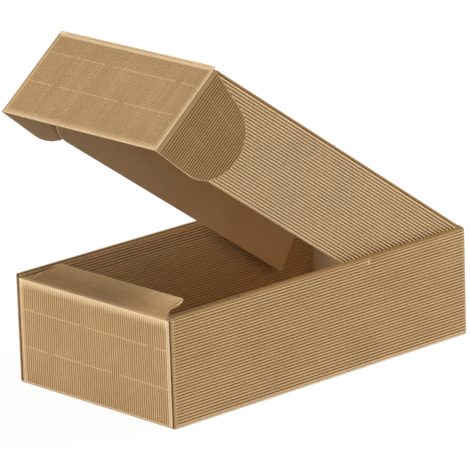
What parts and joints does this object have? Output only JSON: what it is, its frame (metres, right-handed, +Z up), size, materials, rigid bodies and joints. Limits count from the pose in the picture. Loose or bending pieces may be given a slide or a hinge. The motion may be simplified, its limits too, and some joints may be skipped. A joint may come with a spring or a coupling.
{
  "type": "bottle gift box",
  "caption": "Long card gift box for wine bottles, folded from open-flute corrugated card, with rolled long walls and a hinged tuck-front lid that stands part open.",
  "frame": {"origin": "middle of the base's underside", "axes": "+Z up, -Y out of the front wall, +Y to the lid's hinge, +X to the box's right side seen from the front"},
  "size_m": [0.195, 0.3521, 0.2955],
  "materials": {
    "kraft_card": "natural brown open-flute corrugated card, matte"
  },
  "bodies": {
    "tray": {"tray": "kraft_card"},
    "front_flap": {"front_flap": "kraft_card"},
    "lid": {"lid": "kraft_card"},
    "lid_front": {"lid_front": "kraft_card"}
  },
  "joints": [
    {"name": "lid_hinge", "type": "hinge", "parent": "tray", "child": "lid", "pos_m": [0, 0.17125, 0.097], "axis": [-1, 0, 0], "range_deg": [-33.7, 145]},
    {"name": "lid_front_fold", "type": "hinge", "parent": "lid", "child": "lid_front", "pos_m": [0, -0.11119, 0.29477], "axis": [-1, 0, 0], "range_deg": [-16, 74]},
    {"name": "front_flap_fold", "type": "hinge", "parent": "tray", "child": "front_flap", "pos_m": [0, -0.17125, 0.093], "axis": [1, 0, 0], "range_deg": [-33, 0]}
  ]
}
